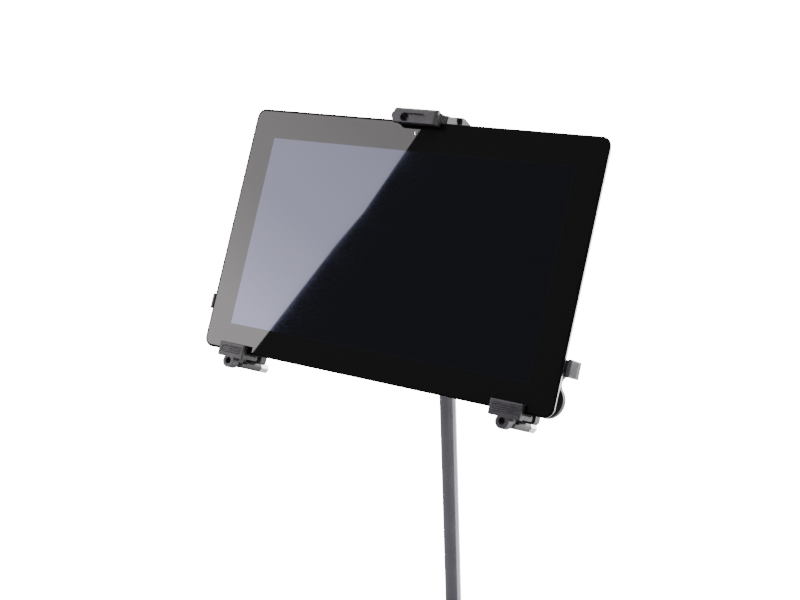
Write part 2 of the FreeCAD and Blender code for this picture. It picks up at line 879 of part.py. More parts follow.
def jaw_grip():
    """The ribbed rubber round the bridge: a saddle on the tablet's edge, and a pad on its glass."""
    side = jaw_half_w - grip_side
    saddle = box(-side, side, top_y + pinch_gap, bridge_high, grip_back, lip_z)
    pad = box(-side, side, jaw_low_y + grip_up, bridge_high, lip_z, hook_back)
    body = saddle.fuse(pad).removeSplitter()
    core = box(-jaw_half_w + grip_t, jaw_half_w - grip_t, bridge_low, bridge_high + over,
               grip_back - over, hook_back + over)
    pitch = (hook_back - grip_back) / grip_ribs
    grooves = []
    for k in range(grip_ribs):
        z = grip_back + pitch * (k + 0.5)
        for x in (-side, side):
            grooves.append(box(x - grip_groove, x + grip_groove, jaw_low_y, bridge_high + over,
                               z - pitch / 4, z + pitch / 4))
    return body.cut(core).cut(Part.makeCompound(grooves))


carriage_shelf_y = top_y + carriage_over


def carriage_profile():
    """The jaw's carriage seen along x, as (y, z) points: track, thumb rest and sloping nose."""
    thumb_z = carriage_back_z - thumb_reach
    hump = top_y + carriage_deep
    rise = jaw_high_y + grip_side
    return [
        (carriage_shelf_y, grip_back), (carriage_shelf_y, lever_z), (carriage_low, lever_z),
        (carriage_low, carriage_back_z), (top_y - thumb_low, carriage_back_z),
        (top_y + carriage_edge, thumb_z), (hump - carriage_edge, thumb_z + carriage_edge),
        (hump, carriage_back_z + carriage_wall), (hump, carriage_back_z + thumb_reach),
        (rise, grip_back - 2 * carriage_edge), (rise, grip_back),
    ]


def jaw_carriage():
    body = plate_x(carriage_profile(), -jaw_half_w, jaw_half_w)
    low_edges = edges_at(body, lambda x, y, z: y < top_y and near(abs(x), jaw_half_w)
                         and z < carriage_back_z + 0.01)
    body = body.makeChamfer(carriage_edge, low_edges)
    half = arm_w / 2 + slide_fit
    track = box(-half, half, carriage_low - over, top_y + slide_fit, rail_back_in_z, rail_in_z)
    coil_out = coil_r + wire_t / 2 + coil_room
    middle_z = (arm_z + arm_back_z) / 2
    tunnel = box(-window_w / 2, window_w / 2, peg_y + peg_h, window_high + over,
                 middle_z - coil_out, middle_z + coil_out)
    peg_half = window_w / 2 - 2 * slide_fit
    peg = box(-peg_half, peg_half, peg_y, peg_y + peg_h, rail_back_in_z, rail_in_z)
    body = body.cut(track).cut(tunnel).fuse(peg).removeSplitter()
    pocket_y = jaw_high_y + carriage_edge / 2
    pocket_z = grip_back - pocket_back
    pocket = plate_x(cut_corners(pocket_y - pocket_h / 2, pocket_y + pocket_h / 2,
                                 pocket_z - pocket_deep / 2, pocket_z + pocket_deep / 2,
                                 pocket_corner), -jaw_half_w - over, jaw_half_w + over)
    keep = box(-pocket_w / 2, pocket_w / 2, 0, 2 * tablet_h, 2 * carriage_back_z, 0)
    body = body.cut(pocket.cut(keep))
    body = body.cut(rod(jaw_screw_r, 0, jaw_screw_y, jaw_screw_seat, grip_back + over))
    return body.cut(rod(jaw_head_r + pinch_gap, 0, jaw_screw_y, 2 * carriage_back_z,
                        jaw_screw_seat))


def jaw_screw():
    return screw_from_behind(0, jaw_screw_y, jaw_head_r, jaw_head_t, jaw_screw_r,
                             jaw_screw_seat, jaw_screw_tip)


def jaw_spring():
    """The square-wire coil in the arm's window, squeezed when the jaw is lifted."""
    low = peg_y + peg_h + face_float
    high = window_high - face_float
    half = wire_t / 2
    run = high - low - wire_t
    steps = coil_turns * coil_steps
    rings = []
    for k in range(steps + 1):
        a = 2 * math.pi * k / coil_steps
        y = low + half + run * k / steps
        rings.append([Vector((coil_r + out) * math.cos(a), y + up,
                             (arm_z + arm_back_z) / 2 + (coil_r + out) * math.sin(a))
                      for out, up in ((-half, -half), (half, -half), (half, half), (-half, half))])
    facets = [rings[0], rings[-1]]
    for here, there in zip(rings, rings[1:]):
        for i in range(4):
            j = (i + 1) % 4
            facets.append([here[i], here[j], there[i]])
            facets.append([here[j], there[j], there[i]])
    faces = [Part.Face(Part.makePolygon(points + points[:1])) for points in facets]
    return Part.makeSolid(Part.makeShell(faces))


# Tablet

def tablet_plate(inset, z0, z1):
    """A plate of the tablet's outline, drawn in by inset."""
    body = box(-side_x + inset, side_x - inset, bottom_y + inset, top_y - inset, z0, z1)
    corners = [e for e in body.Edges if near(e.Length, abs(z1 - z0))]
    return body.makeFillet(tablet_corner - inset, corners)


def tablet_outline(inset, z):
    """The tablet's outline at one level."""
    body = tablet_plate(inset, z, z + over)
    for face in body.Faces:
        if near(face.CenterOfMass.z, z):
            return face.OuterWire


def tablet_case():
    """A straight rim round the glass, and sides that lean in towards the back."""
    rim = tablet_plate(0, -case_rim, -glass_t)
    sides = Part.makeLoft([tablet_outline(0, -case_rim), tablet_outline(case_taper, back_z)],
                          True, True)
    return rim.fuse(sides).removeSplitter()


def tablet_glass():
    glass = tablet_plate(glass_rim, -glass_t, 0)
    return glass.makeChamfer(glass_bevel, edges_at(glass, lambda x, y, z: near(z, 0)))


def build():
    for piece in (stand_tube, thread_stud, lock_nut, swivel_fork, tilt_bolt, tilt_washer,
                  tilt_knob, knob_insert):
        save(piece.__name__, piece())
    for piece in (tilt_head, hub_bolt, hub_washer, hub_rotor, cross_rail, spine_rail, tee_plate,
                  tee_screws, top_arm, jaw_lip, jaw_grip, jaw_carriage, jaw_screw, jaw_spring,
                  tablet_case, tablet_glass):
        save_in_cradle(piece.__name__, piece())
    save_in_cradle("top_lock_screw", lock_screw(0, lock_y))
    save_in_cradle("top_lock_knob", lock_knob(0, lock_y))
    pairs = {
        "arm": side_arm(), "lock_screw": lock_screw(lock_x, arm_y),
        "lock_knob": lock_knob(lock_x, arm_y), "claw_base": claw_base(),
        "arm_screw": arm_screw(), "back_pad": back_pad(), "claw": claw(),
        "claw_liner": claw_liner(0, 0), "clamp_screw": clamp_screw(), "clamp_nut": clamp_nut(),
        "side_lever": side_lever(), "stop_pad": stop_pad(), "lever_screw": lever_screw(),
        "lever_nut": lever_nut(),
    }
    for name, shape in pairs.items():
        save_in_cradle("right_" + name, shape)
        save_in_cradle("left_" + name, mirrored(shape))


build()
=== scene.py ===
import json
import math

import bmesh
import bpy
from mathutils import Euler, Matrix, Vector

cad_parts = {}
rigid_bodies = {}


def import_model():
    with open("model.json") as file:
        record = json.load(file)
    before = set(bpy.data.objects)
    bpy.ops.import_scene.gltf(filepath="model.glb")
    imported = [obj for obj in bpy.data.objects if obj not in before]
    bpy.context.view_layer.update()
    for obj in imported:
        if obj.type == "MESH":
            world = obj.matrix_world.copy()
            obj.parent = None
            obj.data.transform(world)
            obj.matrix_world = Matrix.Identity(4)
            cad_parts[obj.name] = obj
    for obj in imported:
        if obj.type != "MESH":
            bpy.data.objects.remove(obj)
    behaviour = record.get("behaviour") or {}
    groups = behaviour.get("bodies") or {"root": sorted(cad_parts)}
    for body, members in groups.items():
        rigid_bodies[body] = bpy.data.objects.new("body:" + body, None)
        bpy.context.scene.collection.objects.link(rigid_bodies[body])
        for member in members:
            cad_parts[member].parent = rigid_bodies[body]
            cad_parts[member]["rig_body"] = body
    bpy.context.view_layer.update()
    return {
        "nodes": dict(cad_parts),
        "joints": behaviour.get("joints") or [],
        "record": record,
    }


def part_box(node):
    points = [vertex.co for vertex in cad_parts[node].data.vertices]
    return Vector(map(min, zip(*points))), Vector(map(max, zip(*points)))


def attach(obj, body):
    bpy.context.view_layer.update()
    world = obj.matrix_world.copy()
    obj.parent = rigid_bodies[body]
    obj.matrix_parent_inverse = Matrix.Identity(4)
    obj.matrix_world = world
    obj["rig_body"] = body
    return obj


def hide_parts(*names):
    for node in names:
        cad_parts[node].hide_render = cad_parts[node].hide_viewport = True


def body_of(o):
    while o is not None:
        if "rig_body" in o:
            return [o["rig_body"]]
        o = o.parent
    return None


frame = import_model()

MM = 0.001
SIDES = (("left_", -1), ("right_", 1))


# The cradle's frame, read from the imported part: x right, y up the screen, z out of the glass

def joint_axis(name):
    """The direction of a joint of the part."""
    for joint in frame["joints"]:
        if joint["name"] == name:
            return Vector(joint["axis"]).normalized()


UP = joint_axis("tablet_lift")
OUT = joint_axis("left_claw_slide")
RIGHT = UP.cross(OUT)


def reach(node, direction):
    """The lowest and highest place of a node along a direction, in metres."""
    places = [v.co.dot(direction) for v in frame["nodes"][node].data.vertices]
    return min(places), max(places)


def glass_middle():
    """The middle of the front of the glass."""
    side = sum(reach("tablet_glass", RIGHT)) / 2
    height = sum(reach("tablet_glass", UP)) / 2
    return RIGHT * side + UP * height + OUT * reach("tablet_glass", OUT)[1]


MIDDLE = glass_middle()
CRADLE = Matrix.Translation(MIDDLE) @ Matrix((RIGHT, UP, OUT)).transposed().to_4x4()
CRADLE_MM = CRADLE @ Matrix.Scale(MM, 4)


def span(node):
    """The lowest and highest corner of a node in the cradle's frame, in millimetres."""
    low, high = [], []
    for direction in (RIGHT, UP, OUT):
        a, b = reach(node, direction)
        offset = MIDDLE.dot(direction)
        low.append((a - offset) / MM)
        high.append((b - offset) / MM)
    return Vector(low), Vector(high)


def middle_of(node):
    """The middle of a node's box in the cradle's frame, in millimetres."""
    low, high = span(node)
    return (low + high) / 2


def frame_body(node):
    """The body that a CAD node rides on."""
    return body_of(frame["nodes"][node])[0]


# Camera, as in the photograph

IMAGE_W, IMAGE_H = 800, 600
LENS = 58.9
SENSOR = 36.0
NEAREST = 0.05
CAMERA_AT = Vector((0.4739, -0.7289, 0.5568))
CAMERA_TURN = Euler([math.radians(a) for a in (72.312, 2.144, 34.413)])


def make_camera():
    data = bpy.data.cameras.new("camera")
    data.lens = LENS
    data.sensor_width = SENSOR
    data.sensor_fit = "HORIZONTAL"
    data.clip_start = NEAREST
    camera = bpy.data.objects.new("camera", data)
    camera.location = CAMERA_AT
    camera.rotation_euler = CAMERA_TURN
    bpy.context.collection.objects.link(camera)
    bpy.context.scene.camera = camera


def turned_back(ray):
    """The direction of a ray after the glass has mirrored it."""
    return ray - 2 * ray.dot(OUT) * OUT


def pixel_ray(x, y):
    """The direction from the camera through a pixel of the photograph."""
    focal = LENS / SENSOR * IMAGE_W
    toward = Vector((x - IMAGE_W / 2, IMAGE_H / 2 - y, -focal))
    return (CAMERA_TURN.to_matrix() @ toward).normalized()


def seen_in_glass(x, y, plane_at, plane_normal):
    """Where the line of sight through a pixel meets a plane after the glass has turned it back."""
    ray = pixel_ray(x, y)
    hit = CAMERA_AT + ray * ((MIDDLE - CAMERA_AT).dot(OUT) / ray.dot(OUT))
    back = turned_back(ray)
    return hit + back * ((plane_at - hit).dot(plane_normal) / back.dot(plane_normal))


# Shader nodes: the sockets that a Mix node has for colours, and small helpers

COLOR_A, COLOR_B, COLOR_OUT = 6, 7, 2
MARK_START = 0.5


def new_node(tree, kind, **values):
    """Adds a node to a tree and sets its properties."""
    node = tree.nodes.new(kind)
    for name, value in values.items():
        setattr(node, name, value)
    return node


def fill_ramp(ramp, stops):
    """Gives a colour ramp its (position, colour) stops."""
    marks = ramp.color_ramp.elements
    while len(marks) < len(stops):
        marks.new(MARK_START)
    for mark, (at, color) in zip(marks, stops):
        mark.position = at
        mark.color = (*color, 1.0)


def shade(color, share, lift=0.0):
    """A colour made darker or lighter by a share, and lifted."""
    return tuple(c * share + lift for c in color)


# Materials: one function for each finish

BEVEL_SAMPLES = 4
EDGE_TURNED, EDGE_FLAT = 0.86, 0.995


class Finish:
    """A material with a Principled shader, and helpers that add nodes to it."""

    def __init__(self, name, color, metallic=0.0, roughness=0.5):
        self.material = bpy.data.materials.new(name)
        self.material.use_nodes = True
        self.tree = self.material.node_tree
        self.shader = self.tree.nodes["Principled BSDF"]
        self.set("Base Color", (*color, 1.0))
        self.set("Metallic", metallic)
        self.set("Roughness", roughness)
        self.coords = self.add("ShaderNodeTexCoord").outputs["Object"]

    def set(self, socket, value):
        self.shader.inputs[socket].default_value = value

    def add(self, kind, **values):
        return new_node(self.tree, kind, **values)

    def link(self, output, target):
        self.tree.links.new(output, target)

    def noise(self, size, detail=2.0, stretch=(1, 1, 1)):
        """Noise with features of about this many metres, drawn out along each axis."""
        mapping = self.add("ShaderNodeMapping")
        mapping.inputs["Scale"].default_value = [1 / (size * s) for s in stretch]
        texture = self.add("ShaderNodeTexNoise")
        texture.inputs["Scale"].default_value = 1.0
        texture.inputs["Detail"].default_value = detail
        self.link(self.coords, mapping.inputs["Vector"])
        self.link(mapping.outputs["Vector"], texture.inputs["Vector"])
        return texture.outputs["Fac"]

    def between(self, factor, low, high, start=0.3, end=0.7):
        """A value that goes from low to high as the factor goes from start to end."""
        ramp = self.add("ShaderNodeMapRange")
        for socket, value in (("From Min", start), ("From Max", end), ("To Min", low), ("To Max", high)):
            ramp.inputs[socket].default_value = value
        self.link(factor, ramp.inputs["Value"])
        return ramp.outputs["Result"]

    def product(self, a, b):
        """One value times another."""
        both = self.add("ShaderNodeMath", operation="MULTIPLY")
        self.link(a, both.inputs[0])
        self.link(b, both.inputs[1])
        return both.outputs["Value"]

    def mix(self, factor, a, b):
        """A colour between a and b, each a colour or an output."""
        node = self.add("ShaderNodeMix", data_type="RGBA")
        self.link(factor, node.inputs["Factor"])
        for place, value in ((COLOR_A, a), (COLOR_B, b)):
            if isinstance(value, tuple):
                node.inputs[place].default_value = (*value, 1.0)
            else:
                self.link(value, node.inputs[place])
        return node.outputs[COLOR_OUT]

    def drift(self, noise, a, b):
        """A colour that drifts between a and b with the noise."""
        return self.mix(self.between(noise, 0.0, 1.0), a, b)

    def color(self, output):
        self.link(output, self.shader.inputs["Base Color"])

    def roughness(self, factor, low, high):
        self.link(self.between(factor, low, high), self.shader.inputs["Roughness"])

    def relief(self, height, depth, edge):
        """Bump of this depth in metres, on edges that look rounded by this radius in metres."""
        bump = self.add("ShaderNodeBump")
        bump.inputs["Strength"].default_value = 1.0
        bump.inputs["Distance"].default_value = depth
        self.link(height, bump.inputs["Height"])
        self.link(self.soft_edge(edge), bump.inputs["Normal"])
        self.link(bump.outputs["Normal"], self.shader.inputs["Normal"])

    def soft_edge(self, radius):
        node = self.add("ShaderNodeBevel", samples=BEVEL_SAMPLES)
        node.inputs["Radius"].default_value = radius
        return node.outputs["Normal"]

    def edge_mask(self, radius, most):
        """A value that reaches its most where an edge turns away from its face, 0 on flat stretches."""
        dot = self.add("ShaderNodeVectorMath", operation="DOT_PRODUCT")
        self.link(self.soft_edge(radius), dot.inputs[0])
        self.link(self.add("ShaderNodeNewGeometry").outputs["Normal"], dot.inputs[1])
        return self.between(dot.outputs["Value"], most, 0.0, EDGE_TURNED, EDGE_FLAT)


PLASTIC_EDGE = 0.0004


def moulded_plastic(name, color, rough, grain=0.00035):
    """Satin moulded plastic with a spark-eroded grain, a little paler along its edges."""
    finish = Finish(name, color, roughness=rough)
    body = finish.drift(finish.noise(size=0.02), shade(color, 0.8), shade(color, 1.25))
    worn = shade(color, 2.2, lift=0.02)
    finish.color(finish.mix(finish.edge_mask(PLASTIC_EDGE * 0.8, most=0.25), body, worn))
    finish.roughness(finish.noise(size=0.006), rough - 0.05, rough + 0.07)
    finish.relief(finish.noise(grain, detail=1.0), depth=0.000018, edge=PLASTIC_EDGE)
    return finish.material


def rubber():
    """Matt rubber with a chalky bloom."""
    finish = Finish("rubber", (0.012, 0.012, 0.013), roughness=0.72)
    bloom = finish.noise(size=0.005, detail=4.0)
    finish.color(finish.drift(bloom, (0.010, 0.010, 0.011), (0.022, 0.021, 0.021)))
    finish.roughness(finish.noise(size=0.003), 0.62, 0.82)
    finish.relief(finish.noise(size=0.0005, detail=3.0), depth=0.00003, edge=0.00025)
    finish.set("Specular IOR Level", 0.2)
    return finish.material


def powder_coat(name, color, rough, peel, depth, gloss=0.25, metal=0.0):
    """Powder coat with its orange peel."""
    finish = Finish(name, color, metal, rough)
    finish.color(finish.drift(finish.noise(size=0.03), shade(color, 0.88), shade(color, 1.12)))
    finish.roughness(finish.noise(size=0.012), rough - 0.04, rough + 0.05)
    finish.relief(finish.noise(peel, detail=1.5), depth, edge=0.0004)
    finish.set("Coat Weight", gloss)
    finish.set("Coat Roughness", 0.14)
    return finish.material


def anodised():
    """Black anodised aluminium with drawn lines along the extrusion."""
    finish = Finish("anodised", (0.07, 0.07, 0.075), metallic=0.6, roughness=0.36)
    lines = finish.noise(size=0.0006, detail=3.0, stretch=(60, 1, 1))
    finish.color(finish.drift(lines, (0.045, 0.045, 0.049), (0.09, 0.09, 0.096)))
    finish.roughness(lines, 0.3, 0.42)
    finish.relief(lines, depth=0.000006, edge=0.0003)
    return finish.material


def bright_metal(name, color, rough, smudge):
    """Plated metal with faint smudges and turning marks."""
    finish = Finish(name, color, metallic=1.0, roughness=rough)
    smudged = finish.between(finish.noise(size=0.004, detail=4.0), 0.0, smudge)
    finish.color(finish.mix(smudged, color, shade(color, 0.75)))
    finish.roughness(finish.noise(size=0.0015, detail=3.0), rough * 0.7, rough * 1.4)
    finish.relief(finish.noise(size=0.0003), depth=0.000004, edge=0.0002)
    return finish.material


def rim_coat():
    """The deep matt black of the edge round the glass."""
    finish = Finish("rim_black", (0.004, 0.004, 0.004), roughness=0.8)
    haze = finish.noise(size=0.004, detail=3.0)
    finish.color(finish.drift(haze, (0.003, 0.003, 0.003), (0.006, 0.0058, 0.0058)))
    finish.roughness(finish.noise(size=0.002), 0.7, 0.9)
    finish.relief(finish.noise(size=0.0002), depth=0.000004, edge=0.0001)
    finish.set("Specular IOR Level", 0.05)
    return finish.material


def lens_glass():
    """Coated glass of a small camera, with a violet tint deep inside."""
    finish = Finish("lens_glass", (0.02, 0.02, 0.03), roughness=0.08)
    finish.color(finish.drift(finish.noise(size=0.0012), (0.012, 0.010, 0.022), (0.05, 0.05, 0.075)))
    finish.roughness(finish.noise(size=0.0006), 0.05, 0.12)
    finish.set("Coat Weight", 1.0)
    return finish.material


def blackened_steel():
    """Steel with a black oxide skin, a little worn."""
    finish = Finish("black_oxide", (0.03, 0.03, 0.032), metallic=0.75, roughness=0.38)
    body = finish.drift(finish.noise(size=0.002, detail=4.0), (0.018, 0.018, 0.02), (0.045, 0.043, 0.043))
    worn = finish.edge_mask(0.0001, most=0.5)
    finish.color(finish.mix(worn, body, (0.16, 0.155, 0.15)))
    finish.roughness(finish.noise(size=0.001, detail=3.0), 0.3, 0.48)
    finish.relief(finish.noise(size=0.0002), depth=0.000004, edge=0.0001)
    return finish.material


BEZEL_TONE = (0.0045, 0.0043, 0.0043)
PANEL_TONE = (0.029, 0.0335, 0.0595)
DISPLAY_LOW = Vector((-117.3, -67.5))
DISPLAY_HIGH = Vector((117.3, 65.6))
DISPLAY_SOFT = 0.12


def along(finish, direction):
    """How far the surface lies along a direction from the middle of the glass, in metres."""
    dot = finish.add("ShaderNodeVectorMath", operation="DOT_PRODUCT")
    finish.link(finish.coords, dot.inputs[0])
    dot.inputs[1].default_value = direction
    shift = finish.add("ShaderNodeMath", operation="SUBTRACT")
    finish.link(dot.outputs["Value"], shift.inputs[0])
    shift.inputs[1].default_value = MIDDLE.dot(direction)
    return shift.outputs["Value"]


def inside(finish, direction, low, high):
    """1 where the surface lies between two places along a direction, in millimetres."""
    value = along(finish, direction)
    above = finish.between(value, 0.0, 1.0, (low - DISPLAY_SOFT) * MM, (low + DISPLAY_SOFT) * MM)
    below = finish.between(value, 1.0, 0.0, (high - DISPLAY_SOFT) * MM, (high + DISPLAY_SOFT) * MM)
    return finish.product(above, below)


def screen_glass():
    """Black cover glass over a bezel, with the panel's own bluish mirror behind it."""
    finish = Finish("screen_glass", BEZEL_TONE, roughness=0.035)
    across = inside(finish, RIGHT, DISPLAY_LOW.x, DISPLAY_HIGH.x)
    upright = inside(finish, UP, DISPLAY_LOW.y, DISPLAY_HIGH.y)
    panel = finish.product(across, upright)
    finish.color(finish.mix(panel, BEZEL_TONE, PANEL_TONE))
    finish.link(panel, finish.shader.inputs["Metallic"])
    finish.set("Specular IOR Level", 0.0)
    finish.roughness(finish.noise(size=0.03, detail=3.0), 0.028, 0.045)
    finish.set("Coat Weight", 1.0)
    finish.set("Coat Roughness", 0.012)
    return finish.material


FINISHES = {
    "holder_plastic": moulded_plastic("holder_plastic", (0.031, 0.029, 0.0355), rough=0.42),
    "knob_plastic": moulded_plastic("knob_plastic", (0.020, 0.020, 0.022), rough=0.5, grain=0.0005),
    "rubber": rubber(),
    "tube": powder_coat("tube_coat", (0.19, 0.183, 0.22), rough=0.24, peel=0.0012, depth=0.000002,
                        gloss=0.7, metal=0.65),
    "die_cast": powder_coat("die_cast_coat", (0.022, 0.022, 0.025), rough=0.5, peel=0.0007, depth=0.00004),
    "anodised": anodised(),
    "steel": bright_metal("zinc_steel", (0.50, 0.50, 0.51), rough=0.32, smudge=0.6),
    "black_steel": blackened_steel(),
    "chrome": bright_metal("bright_nickel", (0.80, 0.79, 0.77), rough=0.14, smudge=0.35),
    "brass": bright_metal("brass", (0.62, 0.45, 0.20), rough=0.28, smudge=0.5),
    "tablet_case": powder_coat("tablet_coat", (0.018, 0.018, 0.020), rough=0.34, peel=0.0008,
                               depth=0.000002, gloss=0.08),
    "tablet_glass": screen_glass(),
}


def dress_frame():
    """Gives every CAD node the finish of its slot."""
    for row in frame["record"]["subparts"]:
        node = frame["nodes"][row["node"]]
        node.data.materials.clear()
        node.data.materials.append(FINISHES[row["material_slot"]])


# Modelled pieces: in millimetres in the cradle's frame, unless another placement is given

CORNER_STEPS = 8
RIB_W, RIB_H = 0.7, 0.3
RIB_SINK = 0.1
RIB_SIDES = 6
RIB_ENDS = ((0.0, 0.35), (0.04, 1.0), (0.96, 1.0), (1.0, 0.35))


def piece_from(name, bm, slot, body, placement=CRADLE_MM, finish=None, smooth_deg=35):
    """Turns a bmesh into a piece that rides on a body; the placement takes its points to the world."""
    bm.transform(placement)
    bmesh.ops.recalc_face_normals(bm, faces=bm.faces)
    mesh = bpy.data.meshes.new(name)
    bm.to_mesh(mesh)
    bm.free()
    mesh.shade_smooth()
    mesh.set_sharp_from_angle(angle=math.radians(smooth_deg))
    obj = bpy.data.objects.new(name, mesh)
    bpy.context.collection.objects.link(obj)
    mesh.materials.append(finish or FINISHES[slot])
    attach(obj, body)
    return obj


def circle(sides):
    """The angles of a full turn in equal steps."""
    return [math.tau * k / sides for k in range(sides)]


def skin(bm, loops, closed=False):
    """Joins a row of loops, each with as many points, into a solid or, if closed, a ring."""
    rows = [[bm.verts.new(point) for point in loop] for loop in loops]
    after = rows[1:] + rows[:1] if closed else rows[1:]
    for a, b in zip(rows, after):
        for i in range(len(a)):
            j = (i + 1) % len(a)
            bm.faces.new((a[i], a[j], b[j], b[i]))
    if not closed:
        bm.faces.new(rows[0])
        bm.faces.new(rows[-1])


def turned(bm, x, y, profile, sides=36):
    """A solid turned about an axis along z, from a profile of (radius, z)."""
    skin(bm, [[(x + r * math.cos(a), y + r * math.sin(a), z) for a in circle(sides)] for r, z in profile])


def rib(bm, start, end, across, rise, wide=RIB_W, high=RIB_H):
    """A half-round bar that lies on a face from start to end, with its ends drawn in."""
    start, end, across, rise = Vector(start), Vector(end), Vector(across), Vector(rise)
    arc = [math.pi * k / RIB_SIDES for k in range(RIB_SIDES + 1)]
    loops = []
    for t, share in RIB_ENDS:
        middle = start.lerp(end, t)
        half = across * (wide / 2 * share)
        loop = [middle + half * math.cos(a) + rise * (high * share * math.sin(a)) for a in arc]
        loops.append(loop + [middle - half - rise * RIB_SINK, middle + half - rise * RIB_SINK])
    skin(bm, loops)


def round_frame(half_w, half_h, corner, section):
    """A ring along a rectangle with round corners; section gives (outward, z) points."""
    loops = []
    for quarter, (sx, sy) in enumerate(((1, 1), (-1, 1), (-1, -1), (1, -1))):
        for k in range(CORNER_STEPS + 1):
            a = math.pi / 2 * (quarter + k / CORNER_STEPS)
            out_x, out_y = math.cos(a), math.sin(a)
            x = sx * (half_w - corner) + out_x * corner
            y = sy * (half_h - corner) + out_y * corner
            loops.append([(x + out_x * o, y + out_y * o, z) for o, z in section])
    bm = bmesh.new()
    skin(bm, loops, closed=True)
    return bm


# Tablet: the rim round its glass, the bright band below the rim, and the cameras

RIM_SECTION = ((-0.74, -1.05), (0.0, -1.05), (-0.02, -0.72), (-0.16, -0.42), (-0.4, -0.14), (-0.65, 0.03),
               (-1.5, 0.05), (-1.5, 0.0), (-0.74, 0.0))
RIM_BLACK = rim_coat()
BAND_SECTION = ((-0.3, -1.68), (0.0, -1.66), (0.03, -1.4), (0.0, -1.1), (-0.3, -1.08))
BAND_BRIGHT = bright_metal("edge_band", (0.80, 0.80, 0.81), rough=0.16, smudge=0.3)
TABLET_CORNER = 6.5
EYE_GLASS = lens_glass()
EYE_SIDES = 40
EYE_RING = ((1.0, 0.0), (1.0, 0.1), (0.94, 0.14), (0.72, 0.14), (0.68, 0.06), (0.68, 0.0))
EYE_LENS = ((0.66, 0.0), (0.66, 0.05), (0.5, 0.085), (0.3, 0.11), (0.1, 0.12))
FRONT_EYE = (-0.9, 78.0)
FRONT_EYE_R = 1.5
BACK_EYE = (52.0, 73.0)
BACK_EYE_R = 3.4
FLASH_ASIDE = 8.5
FLASH_R = BACK_EYE_R / 2.2


def tablet_rim():
    """The thin black rim round the glass, which laps over its edge, and the bright band below it."""
    high = span("tablet_case")[1]
    rim = round_frame(high.x, high.y, TABLET_CORNER, RIM_SECTION)
    piece_from("tablet_rim", rim, "tablet_case", "tablet", finish=RIM_BLACK)
    band = round_frame(high.x, high.y, TABLET_CORNER, BAND_SECTION)
    piece_from("tablet_edge_band", band, "chrome", "tablet", finish=BAND_BRIGHT)


def camera_eye(name, x, y, z, out, r):
    """A small camera: a ring round a domed lens, both standing on z and facing out."""
    ring = bmesh.new()
    skin(ring, [[(x + s * r * math.cos(a), y + s * r * math.sin(a), z + out * t * r) for s, t in EYE_RING]
                for a in circle(EYE_SIDES)], closed=True)
    piece_from(name + "_ring", ring, "chrome", "tablet", finish=BAND_BRIGHT)
    lens = bmesh.new()
    turned(lens, x, y, [(s * r, z + out * t * r) for s, t in EYE_LENS])
    piece_from(name + "_lens", lens, "tablet_glass", "tablet", finish=EYE_GLASS)


def tablet_cameras():
    back = span("tablet_case")[0].z
    camera_eye("front_camera", *FRONT_EYE, z=0.0, out=1, r=FRONT_EYE_R)
    camera_eye("back_camera", *BACK_EYE, z=back, out=-1, r=BACK_EYE_R)
    camera_eye("flash", BACK_EYE[0] + FLASH_ASIDE, BACK_EYE[1], z=back, out=-1, r=FLASH_R)


# Clamp screws: socket caps with a knurled head and a cut thread

COLUMNS = 36
SHANK_R = 1.25
THREAD_ROOT = 1.0
THREAD_PITCH = 0.45
THREAD_CREST = 1.35
THREAD_FREE = 8.0
ROWS_A_TURN = 5
TIP_T = 0.25
TIP_R = 0.7
SEAT_RISE = 0.01
HEAD_T = 2.4
HEAD_UNDER = 0.2
HEAD_EDGE = 0.15
HEAD_ROUND = 0.1
KNURL_DEEP = 0.1
KNURL_END = 0.4
SOCKET_R = 1.2
SOCKET_EDGE = 0.12
SOCKET_DEEP = 1.4
DRILL_DEEP = 0.4
DRILL_R = 0.2


# The radius of a row of points round the screw, from the number and the angle of a column

def even(r):
    return lambda k, a: r


def knurled(r):
    """Every second column stands back."""
    return lambda k, a: r - KNURL_DEEP * (k % 2)


def hexagon(r):
    """A hexagon with corners at r."""
    return lambda k, a: r * math.cos(math.pi / 6) / math.cos(a % (math.pi / 3) - math.pi / 6)


def threaded(z, low, high):
    """A cut thread from low to high that runs out at both ends."""
    start = min(1.0, (z - low) / THREAD_PITCH)
    stop = min(1.0, (high - z) / THREAD_PITCH)

    def radius(k, a):
        part = (z / THREAD_PITCH - a / math.tau) % 1
        crest = min(1.0, THREAD_CREST * (1 - abs(2 * part - 1)))
        cut = THREAD_ROOT + (SHANK_R - THREAD_ROOT) * crest
        if stop == 1.0:
            return THREAD_ROOT + (cut - THREAD_ROOT) * start
        return SHANK_R + (cut - SHANK_R) * stop

    return radius


